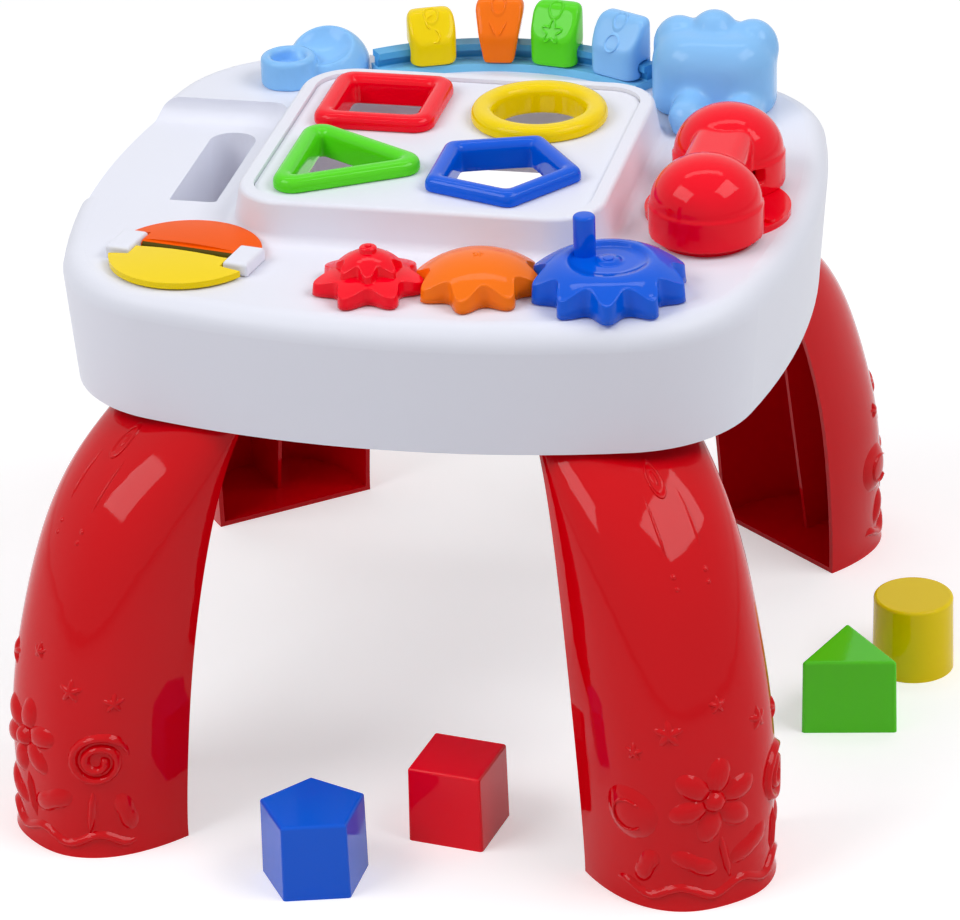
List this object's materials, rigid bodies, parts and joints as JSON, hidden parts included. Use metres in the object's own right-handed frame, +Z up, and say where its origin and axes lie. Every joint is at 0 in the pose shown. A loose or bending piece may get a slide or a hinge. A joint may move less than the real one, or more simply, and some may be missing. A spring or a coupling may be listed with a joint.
{
  "type": "toddler activity table",
  "caption": "Toddler activity table: white top on splayed U-section legs, shape sorter tower with blocks, meshing gears, flip pages, toy telephone and a curved slider rail.",
  "frame": {"origin": "on the floor under the middle of everything that stands on it, the loose blocks included", "axes": "+Z up from the floor, +X to the telephone side, -Y towards the child at the gears"},
  "size_m": [0.5082, 0.5336, 0.369],
  "materials": {
    "white_plastic": "satin moulded",
    "red_plastic": "glossy moulded",
    "yellow_plastic": "glossy moulded",
    "orange_plastic": "glossy moulded",
    "green_plastic": "glossy moulded",
    "blue_plastic": "glossy moulded",
    "light_blue_plastic": "satin moulded",
    "rail_plastic": "satin moulded",
    "steel": "zinc plated"
  },
  "bodies": {
    "table": {"animal_end_stop": "light_blue_plastic", "collar_pentagon": "blue_plastic", "collar_round": "yellow_plastic", "collar_square": "red_plastic", "collar_triangle": "green_plastic", "gear_axles": "white_plastic", "leg_back_left": "red_plastic", "leg_back_right": "red_plastic", "leg_front_left": "red_plastic", "leg_front_right": "red_plastic", "leg_screws": "steel", "page_bracket_left": "white_plastic", "page_bracket_right": "white_plastic", "page_hinge_pins": "steel", "phone_base": "red_plastic", "scoop_end_stop": "light_blue_plastic", "slider_rail": "rail_plastic", "sorter_lid": "white_plastic", "tabletop_shell": "white_plastic"},
    "large_gear": {"gear_large_blue": "blue_plastic"},
    "medium_gear": {"gear_medium_orange": "orange_plastic"},
    "small_gear": {"gear_small_red": "red_plastic"},
    "orange_page": {"page_orange": "orange_plastic"},
    "yellow_page": {"page_yellow": "yellow_plastic"},
    "yellow_slider": {"slider_yellow": "yellow_plastic"},
    "orange_slider": {"slider_orange": "orange_plastic"},
    "green_slider": {"slider_green": "green_plastic"},
    "light_blue_slider": {"slider_light_blue": "light_blue_plastic"},
    "handset": {"phone_handset": "red_plastic", "handset_plates": "red_plastic"},
    "cube": {"block_cube": "red_plastic"},
    "pentagon_block": {"block_pentagon": "blue_plastic"},
    "triangle_block": {"block_triangle": "green_plastic"},
    "cylinder_block": {"block_cylinder": "yellow_plastic"}
  },
  "joints": [
    {"name": "large_gear_turn", "type": "hinge", "parent": "table", "child": "large_gear", "pos_m": [0.08561, -0.125, 0.325], "axis": [0, 0, 1], "continuous": true},
    {"name": "medium_gear_turn", "type": "hinge", "parent": "table", "child": "medium_gear", "pos_m": [0.01379, -0.13002, 0.325], "axis": [0, 0, 1], "continuous": true},
    {"name": "small_gear_turn", "type": "hinge", "parent": "table", "child": "small_gear", "pos_m": [-0.04539, -0.13993, 0.325], "axis": [0, 0, 1], "continuous": true},
    {"name": "orange_page_flip", "type": "hinge", "parent": "table", "child": "orange_page", "pos_m": [-0.15607, -0.11157, 0.323], "axis": [0.9866, -0.1633, 0], "range_deg": [0, 88]},
    {"name": "yellow_page_flip", "type": "hinge", "parent": "table", "child": "yellow_page", "pos_m": [-0.1577, -0.12143, 0.323], "axis": [-0.9866, 0.1633, 0], "range_deg": [0, 88]},
    {"name": "yellow_slider_travel", "type": "hinge", "parent": "table", "child": "yellow_slider", "pos_m": [-0.02839, 0.049, 0.33], "axis": [0, 0, -1], "range_deg": [-7, 1.8]},
    {"name": "orange_slider_travel", "type": "hinge", "parent": "table", "child": "orange_slider", "pos_m": [-0.02839, 0.049, 0.33], "axis": [0, 0, -1], "range_deg": [-1.7, 0.4]},
    {"name": "green_slider_travel", "type": "hinge", "parent": "table", "child": "green_slider", "pos_m": [-0.02839, 0.049, 0.33], "axis": [0, 0, -1], "range_deg": [-0.4, 1.8]},
    {"name": "light_blue_slider_travel", "type": "hinge", "parent": "table", "child": "light_blue_slider", "pos_m": [-0.02839, 0.049, 0.33], "axis": [0, 0, -1], "range_deg": [-1.6, 2.5]},
    {"name": "handset_lift", "type": "slide", "parent": "table", "child": "handset", "axis": [0, 0, 1], "range_m": [0, 0.15]},
    {"name": "cube_lift", "type": "slide", "parent": "table", "child": "cube", "axis": [0, 0, 1], "range_m": [0, 0.12]},
    {"name": "pentagon_block_lift", "type": "slide", "parent": "table", "child": "pentagon_block", "axis": [0, 0, 1], "range_m": [0, 0.12]},
    {"name": "triangle_block_lift", "type": "slide", "parent": "table", "child": "triangle_block", "axis": [0, 0, 1], "range_m": [0, 0.12]},
    {"name": "cylinder_block_lift", "type": "slide", "parent": "table", "child": "cylinder_block", "axis": [0, 0, 1], "range_m": [0, 0.12]}
  ],
  "couplings": [
    {"joint": "medium_gear_turn", "follows": "large_gear_turn", "ratio": -1.25},
    {"joint": "small_gear_turn", "follows": "large_gear_turn", "ratio": 1.4286}
  ]
}
